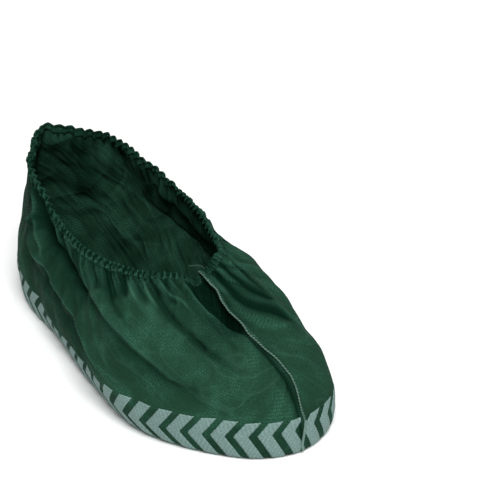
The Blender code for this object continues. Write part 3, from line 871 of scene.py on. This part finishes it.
# End seams. At the toe and at the heel the blank's two edges are overlocked together: a narrow doubled fin
# that leans to the wearer's right, bound by looper threads that show as pale beads along its free edge.
FIN_WIDTH = 2.6
FIN_THICKNESS = 0.7
FIN_ROOT_SINKS = 0.4
FIN_PROUD = 0.6 * HEM_PROUD
FIN_ROWS = 300
SEAM_STEPS = 600
FIN_COLUMNS = 5
FIN_LEAN = math.radians(64.0)
FIN_FOOT_LIFT = 3.0
OVERLOCK_PITCH = 2.0
OVERLOCK_RADIUS = 0.18
FIN_NARROWS_OVER = 34.0
FIN_FOOT_SHARE = 0.45
FIN_PRINTED_TO = 27.0
FIN_EDGE_FROM = 0.9
FIN_EDGE_PALE = 0.8
FIN_PRINT_PALE = 1.8
OVERLOCK_THREAD = linear("#678676")
FIN_PRINTED = linear("#7c9690")

# The seam wanders on the cloth, and its fin's lean and width waver, in waves that are so many millimetres
# over one radian. The wandering starts over the print and eases where the cloth is stretched smooth.
SeamWave = namedtuple("SeamWave", "size over phase")
WANDER_WAVES = (SeamWave(1.3, 4.5, 0.0),)
WANDER_STARTS = (1.0, 6.0)
WANDER_EASES = (28.0, 45.0)
WANDER_EASED = 0.6
LEAN_WAVES = (SeamWave(0.30, 9.0, 0.0), SeamWave(0.16, 3.7, 1.0))
REACH_WAVES = (SeamWave(0.3, 1.9, 0.0), SeamWave(0.35, 5.1, 0.0))

# One overlock loop, from its start on the fin's face over the free edge to the back: how far along its
# stitch, how far out on the fin, and how far off the fin's middle it lies, in shares.
OVERLOCK_LOOP = (
    (0.0, 0.72, 1.0), (0.25, 0.8, 1.0), (0.48, 1.0, 0.8), (0.5, 1.07, 0.0),
    (0.52, 1.0, -0.8), (0.75, 0.8, -1.0), (1.0, 0.72, -1.0),
)


def wavering(table, height):
    """The sum of these waves at heights in millimetres."""
    return sum(wave.size * np.sin(height / wave.over + wave.phase) for wave in table)


def seam_frame(place, lean_to):
    """The seam line's heights, its points, the way that the fin stands and the way that its face looks."""
    up = np.linspace(0.0, 1.0, SEAM_STEPS)
    points, normal, _ = wall_points(np.array([place]), up, FIN_PROUD)
    points, normal = points[0], normal[0]
    run = np.gradient(points, axis=0)
    run /= np.linalg.norm(run, axis=1)[:, None]
    aside = np.cross(normal, run)
    aside *= np.sign(aside[:, :1] * lean_to)
    height = up * WALL_HEIGHT
    wander = wavering(WANDER_WAVES, height) * fade(height, *WANDER_STARTS)
    wander *= 1.0 - WANDER_EASED * fade(height, *WANDER_EASES)
    points = points + aside * wander[:, None]
    lean = FIN_LEAN + wavering(LEAN_WAVES, height)
    stand = normal * np.cos(lean)[:, None] + aside * np.sin(lean)[:, None]
    flat = np.cross(run, stand)
    flat *= np.sign((flat * normal).sum(axis=1))[:, None]
    return up, points, stand, flat


def fin_points(seam, up, share, lift):
    """Points on the fin at these heights, a share of the way from root to edge, lifted off its face."""
    heights, *runs = seam
    spot, out, face = (points_at(np.clip(up, 0.0, 1.0), heights, run) for run in runs)
    reach = FIN_WIDTH + wavering(REACH_WAVES, up * WALL_HEIGHT)
    reach *= FIN_FOOT_SHARE + (1.0 - FIN_FOOT_SHARE) * fade(up * WALL_HEIGHT, 0.0, FIN_NARROWS_OVER)
    return spot + out * (share * (reach + FIN_ROOT_SINKS) - FIN_ROOT_SINKS)[:, None] + face * lift[:, None]


def build_end_seam(name, node, place, lean_to):
    """The fin at one end of the cover with its overlock threads."""
    length = wall_lengths(np.array([place]))[0]
    seam = seam_frame(place, lean_to)
    up = np.linspace(FIN_FOOT_LIFT / length, 1.0, FIN_ROWS)
    shares = np.linspace(0.0, 1.0, FIN_COLUMNS)
    flush = np.zeros(FIN_ROWS)
    grid = np.stack([fin_points(seam, up, np.full(FIN_ROWS, share), flush) for share in shares], axis=1)
    faces, corners = grid_faces(number_grid(FIN_ROWS, FIN_COLUMNS))
    fin = add_mesh(name, grid.reshape(-1, 3), faces, fin_cloth)
    uv = np.stack([shares[corners[1]] * FIN_WIDTH, up[corners[0]] * length], axis=1)
    # The free edge gets a painted highlight, and over the tread the fin takes the print colour through the
    # same mark.
    edge = FIN_EDGE_PALE * (shares > FIN_EDGE_FROM)[None, :]
    pale = np.maximum(edge, FIN_PRINT_PALE * (up * length < FIN_PRINTED_TO)[:, None])
    mark_cloth(fin.data, uv, np.stack([pale, 0.0 * pale], axis=-1))
    thicken(fin, FIN_THICKNESS, 0.0)
    along, share, off = np.array(OVERLOCK_LOOP).T
    face = FIN_THICKNESS / 2.0 + 0.5 * OVERLOCK_RADIUS
    count = int((up[-1] - up[0]) * length / OVERLOCK_PITCH)
    step = (up[-1] - up[0]) / count
    loops = [fin_points(seam, up[0] + (index + along) * step, share, off * face) for index in range(count)]
    threads = add_threads(name + "_threads", loops, OVERLOCK_RADIUS, overlock_thread)
    for piece in (fin, threads):
        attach(piece, "root")
        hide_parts(node)
    return [fin, threads]


fin_cloth = spunbond("spunbond_seam", NONWOVEN_GREEN, NONWOVEN_DEEP, FIN_PRINTED)
overlock_thread = spun_thread("overlock_thread", OVERLOCK_THREAD)
seams = build_end_seam("toe_seam_fin", "toe_seam", 0.0, -1.0)
seams += build_end_seam("heel_seam_fin", "heel_seam", 0.5, 1.0)

# Thread tail. Where the overlocker runs off the hem at the toe seam, its threads chain off into a short
# twisted end about 12 mm long, which lies over the opening towards the wearer's right.
TAIL = (
    (0.0, -63.5, 95.5), (-1.5, -62.5, 97.6), (-4.0, -61.0, 98.6), (-6.6, -59.6, 98.4), (-9.0, -58.6, 98.9),
)
TAIL_STEPS = 24
STRAND_RADIUS = 0.48
STRANDS = 3
TAIL_TAPER = 0.5
TAIL_TWISTS = 4.5
TAIL_GREEN = linear("#133627")

tail_share = np.linspace(0.0, 1.0, TAIL_STEPS)
tail_line = points_at(tail_share * (len(TAIL) - 1), np.arange(len(TAIL)), TAIL)
tail_runs = []
for strand in range(STRANDS):
    angle = 2.0 * np.pi * (TAIL_TWISTS * tail_share + strand / STRANDS)
    turn = np.stack([np.zeros(TAIL_STEPS), np.cos(angle), np.sin(angle)], axis=1)
    tail_runs.append(tail_line + turn * (STRAND_RADIUS * (1.0 - TAIL_TAPER * tail_share))[:, None])
tail = add_threads("thread_tail", tail_runs, STRAND_RADIUS, spun_thread("dark_thread", TAIL_GREEN))
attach(tail, "root")
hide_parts("toe_seam")

# Printed tread. A thin non-slip coating, printed in rows of chevrons round the sole's edge and under it, and
# bonded to the cloth. Rows point opposite ways by turns, so both side rows run the same way past the toe.
TREAD_RAISED = 0.25
TREAD_THICKNESS = 0.5
CHEVRON_PITCH = 15.3
CHEVRON_WIDTH = 9.4
FIRST_TIP = 1.8
SEAM_GAP = 2.6
LEAN_UP = 0.9
LEAN_DOWN = 0.47
CHEVRON_FOOT = -7.0
CHEVRON_UNDER_SHARE = 0.8
CHEVRON_ROWS = 26
CHEVRON_COLUMNS = 7
CHEVRONS_EACH_WAY = 40
UNDER_STEPS = 10
PRINT_MAP_STEP = 1.6
COVER_MIDDLE = (0.0, -20.0, 35.0)
ROW_LINE = 19.0
LEAST_FACE = 0.02
SOLE_TREAD_ROWS = 4
SOLE_ROW_SHARE = 0.86
SOLE_TOO_NARROW = 42.0
SOLE_CHEVRON_LEAN = 0.55
SOLE_MARGIN = 3.5
TREAD_PALE = linear("#79938f")
TREAD_DEEP = linear("#627b77")

# The row's tips and its upper edge at distances from the toe seam: behind it on the wearer's right, and
# before it, below zero, on the left.
TreadEdge = namedtuple("TreadEdge", "distance tip top")
TREAD_EDGES = (
    TreadEdge(-420, 18, 34), TreadEdge(-150, 19, 34), TreadEdge(-31, 20, 28.5), TreadEdge(0, 22, 30),
    TreadEdge(31, 22, 31.5), TreadEdge(60, 21, 34.5), TreadEdge(100, 19, 36.5), TreadEdge(150, 19, 36),
    TreadEdge(180, 17, 29), TreadEdge(205, 16, 25), TreadEdge(255, 16, 25), TreadEdge(290, 17, 31),
    TreadEdge(420, 18, 34),
)


def cloth_paths(half):
    """One side's hoops from the sole's middle to the rim, and their points' heights from the sole's edge."""
    middle = (right_half[:, :1] + left_half[:, :1]) / 2.0
    shares = np.linspace(1.0, 1.0 / UNDER_STEPS, UNDER_STEPS)
    path = np.concatenate([half[:, :1] + (middle - half[:, :1]) * shares[None, :, None], half], axis=1)
    arcs = run_lengths(path)
    return path, arcs - arcs[:, UNDER_STEPS + CORNER_ROWS][:, None] + SOLE_EDGE_RADIUS


def point_at(path, heights, place, height):
    """The point on one side's cloth at this place around and this height from the sole's edge."""
    at = np.interp(place, places, np.arange(HOOPS + 1))
    first = min(int(at), HOOPS - 1)
    before, after = (points_at(height, heights[hoop], path[hoop]) for hoop in (first, first + 1))
    return before * (first + 1 - at) + after * (at - first)


half_widths = np.linalg.norm(right_half[:, 0] - left_half[:, 0], axis=1) / 2.0
side_rows = {}
for name, half in (("right", right_half), ("left", left_half)):
    path, heights = cloth_paths(half)
    line = np.array([point_at(path, heights, place, ROW_LINE) for place in places])
    side_rows[name] = (path, heights, run_lengths(line))


def on_tread(name, distance, height):
    """The point on one side's cloth this far along its row from the toe seam, and this high."""
    path, heights, distances = side_rows[name]
    from_seam = max(distance, SEAM_GAP) if name == "right" else max(-distance, 0.0)
    place = np.interp(from_seam, distances, places)
    if height < 0.0:
        height *= min(1.0, CHEVRON_UNDER_SHARE * np.interp(place, places, half_widths) / -CHEVRON_FOOT)
    return point_at(path, heights, place, height)


def chevron_patch(tip, height, foot, top, lean_up, lean_down, place_point):
    """One chevron's grid of points: its tip at this distance and height, and its arms leaning back."""
    patch = []
    for level in np.linspace(foot, top, CHEVRON_ROWS):
        back = lean_up * (level - height) if level > height else lean_down * (height - level)
        for share in np.linspace(0.0, 1.0, CHEVRON_COLUMNS):
            patch.append(place_point(tip - back - share * CHEVRON_WIDTH, level))
    return patch


def add_tread(name, patches, material):
    """One joined piece of raised chevrons."""
    points, tread_faces, uv = [], [], []
    number = number_grid(CHEVRON_ROWS, CHEVRON_COLUMNS)
    quads, _ = grid_faces(number)
    row, column = np.divmod(number.ravel(), CHEVRON_COLUMNS)
    print_map = PRINT_MAP_STEP * np.stack([column, row], axis=1)
    for patch in patches:
        start = len(points)
        points.extend(patch)
        outwards = np.mean(patch, axis=0) - np.array(COVER_MIDDLE)
        for quad in quads:
            a, b, c, d = (np.array(patch[vertex]) for vertex in quad)
            facing = np.cross(c - a, d - b)
            if np.linalg.norm(facing) < LEAST_FACE:
                continue
            quad = quad if np.dot(facing, outwards) > 0.0 else quad[::-1]
            tread_faces.append([start + vertex for vertex in quad])
            uv.extend(print_map[quad])
    tread = add_mesh(name, points, tread_faces, material)
    mark_cloth(tread.data, uv, np.zeros((len(points), 2)))
    thicken(tread, TREAD_THICKNESS, 2.0 * TREAD_RAISED / TREAD_THICKNESS - 1.0)
    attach(tread, "root")
    return tread


# Non-slip print: a foamed elastomer coating, screen printed and heat set. It is matt and chalky, and the
# nonwoven's weld points show through it as small dents.
DENT_PITCH = 2.1
TREAD_DENTED = linear("#47685f")
SPECK_SIZE = 1.1
DENT_DARK = 0.7
DENT_SINKS = 0.8


def printed_coating(name):
    """The tread's coating, with its dents and its slightly patchy ink."""
    material, tree = new_material(name)
    where = add_node(tree, "TexCoord", {}).outputs["Object"]
    along = add_node(tree, "UVMap", {"uv_map": "cloth_mm"})
    turned = add_node(tree, "Mapping", {"Rotation": DIAGONAL}, {"Vector": along})
    dents = add_node(
        tree, "TexVoronoi", {"voronoi_dimensions": "2D", "Scale": 1.0 / DENT_PITCH, "Randomness": 0.2},
        {"Vector": turned},
    )
    dent = add_node(tree, "MapRange", {"From Min": 0.5, "From Max": 0.15}, {"Value": dents})
    specks = add_node(tree, "TexNoise", {"Scale": 1.0 / (SPECK_SIZE * MM), "Detail": 3.0}, {"Vector": where})
    patchy = add_node(tree, "MapRange", {"From Min": 0.35, "From Max": 0.65}, {"Value": specks})
    ink = add_node(tree, "Mix", {"data_type": "RGBA", 6: TREAD_DEEP, 7: TREAD_PALE}, {0: patchy})
    dent_share = add_node(tree, "Math", {"operation": "MULTIPLY", 1: DENT_DARK}, {0: dent})
    colour = add_node(tree, "Mix", {"data_type": "RGBA", 7: TREAD_DENTED}, {0: dent_share, 6: ink})
    height = add_node(tree, "Math", {"operation": "MULTIPLY_ADD", 1: -DENT_SINKS}, {0: dent, 2: specks})
    bump = add_node(tree, "Bump", {"Strength": 0.5, "Distance": 0.12 * MM}, {"Height": height})
    shader = add_node(
        tree, "BsdfPrincipled", {"Roughness": 0.8, "IOR": 1.5}, {"Base Color": colour, "Normal": bump}
    )
    add_node(tree, "OutputMaterial", {}, {"Surface": shader})
    return material


coating = printed_coating("non_slip_print")
edge_table = np.array(TREAD_EDGES, dtype=float)
side_patches = {"right": [], "left": []}
for step in range(-CHEVRONS_EACH_WAY, CHEVRONS_EACH_WAY):
    tip = FIRST_TIP + CHEVRON_PITCH * step
    if not -side_rows["left"][2][-1] < tip < side_rows["right"][2][-1] + 2.0 * CHEVRON_PITCH:
        continue
    middle = tip - CHEVRON_PITCH / 2.0
    height = np.interp(middle, edge_table[:, 0], edge_table[:, 1])
    top = np.interp(middle, edge_table[:, 0], edge_table[:, 2])
    tail_end = tip - max(LEAN_UP * (top - height), LEAN_DOWN * (height - CHEVRON_FOOT)) - CHEVRON_WIDTH
    for name, shows in (("right", tip > SEAM_GAP), ("left", tail_end < 0.0)):
        if shows:
            side_patches[name].append(chevron_patch(
                tip, height, CHEVRON_FOOT, top, LEAN_UP, LEAN_DOWN, partial(on_tread, name)
            ))
treads = [add_tread("tread_" + name, patches, coating) for name, patches in side_patches.items()]


def on_sole(lane, lane_width, start, way, distance, level):
    """The point under the sole this far along one of its rows from a start, and this far across the row."""
    y = np.clip(start + way * distance, sole_y[0] + SOLE_MARGIN, sole_y[-1] - SOLE_MARGIN)
    right_x, left_x = (np.interp(y, half[:, 0, 1], half[:, 0, 0]) for half in (right_half, left_half))
    share = (lane + 0.5 + level / lane_width) / SOLE_TREAD_ROWS
    return np.array([right_x + SOLE_MARGIN + share * (left_x - right_x - 2.0 * SOLE_MARGIN), y, 0.0])


sole_y = [(right_half[i, 0, 1] + left_half[i, 0, 1]) / 2.0 for i in range(rows)]
sole_patches = []
for lane in range(SOLE_TREAD_ROWS):
    way = 1.0 if lane % 2 else -1.0
    for start in np.arange(sole_y[0], sole_y[-1], CHEVRON_PITCH):
        hoop = int(np.interp(start, sole_y, np.arange(rows)))
        right_x, left_x = right_half[hoop, 0, 0], left_half[hoop, 0, 0]
        if left_x - right_x < SOLE_TOO_NARROW:
            continue
        lane_width = (left_x - right_x) / SOLE_TREAD_ROWS
        half = SOLE_ROW_SHARE * lane_width / 2.0
        sole_patches.append(chevron_patch(
            0.0, 0.0, -half, half, SOLE_CHEVRON_LEAN, SOLE_CHEVRON_LEAN,
            partial(on_sole, lane, lane_width, start, way),
        ))
treads.append(add_tread("tread_sole", sole_patches, coating))

# Floor. A plain pale sweep of matt card, 8 m wide, that the cover stands on. It lies just clear of the tread,
# which stands proud of the cloth under the sole.
FLOOR_SIZE = 8.0
FLOOR_CLEAR = 0.05
FLOOR_CORNERS = ((-0.5, -0.5), (0.5, -0.5), (0.5, 0.5), (-0.5, 0.5))
FLOOR_PALE = linear("#fbfcfb")
floor_mesh = bpy.data.meshes.new("floor")
floor_z = -(SOLE_DROP + TREAD_RAISED + FLOOR_CLEAR) * MM
floor_corners = [(x * FLOOR_SIZE, y * FLOOR_SIZE, floor_z) for x, y in FLOOR_CORNERS]
floor_mesh.from_pydata(floor_corners, [], [(0, 1, 2, 3)])
floor_material, floor_tree = new_material("pale_sweep")
floor_shader = add_node(floor_tree, "BsdfPrincipled", {"Base Color": FLOOR_PALE, "Roughness": 0.9})
add_node(floor_tree, "OutputMaterial", {}, {"Surface": floor_shader})
floor_mesh.materials.append(floor_material)
floor = bpy.data.objects.new("floor", floor_mesh)
bpy.context.scene.collection.objects.link(floor)

# Light. A bright even surround, a large soft box high in front of the toe, to the wearer's right, and a much
# weaker one on the left. Their places and sizes are in metres.
SURROUND_STRENGTH = 0.27
SoftBox = namedtuple("SoftBox", "name place size power")
SOFT_BOXES = (
    SoftBox("key_box", (-1.6, -2.9, 5.0), 2.6, 420.0),
    SoftBox("fill_box", (3.2, -2.0, 2.6), 2.4, 12.0),
)
world = bpy.data.worlds.new("surround")
world.use_nodes = True
world.node_tree.nodes["Background"].inputs["Color"].default_value = (1.0, 1.0, 1.0, 1.0)
world.node_tree.nodes["Background"].inputs["Strength"].default_value = SURROUND_STRENGTH
bpy.context.scene.world = world
for box in SOFT_BOXES:
    light = bpy.data.lights.new(box.name, "AREA")
    light.shape = "SQUARE"
    light.size = box.size
    light.energy = box.power
    lamp = bpy.data.objects.new(box.name, light)
    lamp.location = box.place
    lamp.rotation_mode = "QUATERNION"
    lamp.rotation_quaternion = (-Vector(box.place)).to_track_quat("-Z", "Y")
    bpy.context.scene.collection.objects.link(lamp)

# Camera. It looks down at the toe from the wearer's right, with the cover at the left of the frame.
CAMERA_PLACE = (-564.3, -849.4, 664.3)
CAMERA_AZIMUTH = math.radians(-37.45)
CAMERA_ELEVATION = math.radians(29.82)
CAMERA_LENS = 122.8
CAMERA_SENSOR = 36.0
camera = bpy.data.objects.new("camera", bpy.data.cameras.new("camera"))
camera.data.lens = CAMERA_LENS
camera.data.sensor_width = CAMERA_SENSOR
camera.location = to_metres(CAMERA_PLACE)
camera_back = Vector((
    math.sin(CAMERA_AZIMUTH) * math.cos(CAMERA_ELEVATION),
    -math.cos(CAMERA_AZIMUTH) * math.cos(CAMERA_ELEVATION),
    math.sin(CAMERA_ELEVATION),
))
camera.rotation_mode = "QUATERNION"
camera.rotation_quaternion = (-camera_back).to_track_quat("-Z", "Y")
bpy.context.scene.collection.objects.link(camera)
bpy.context.scene.camera = camera
bpy.context.scene.view_settings.view_transform = "Standard"
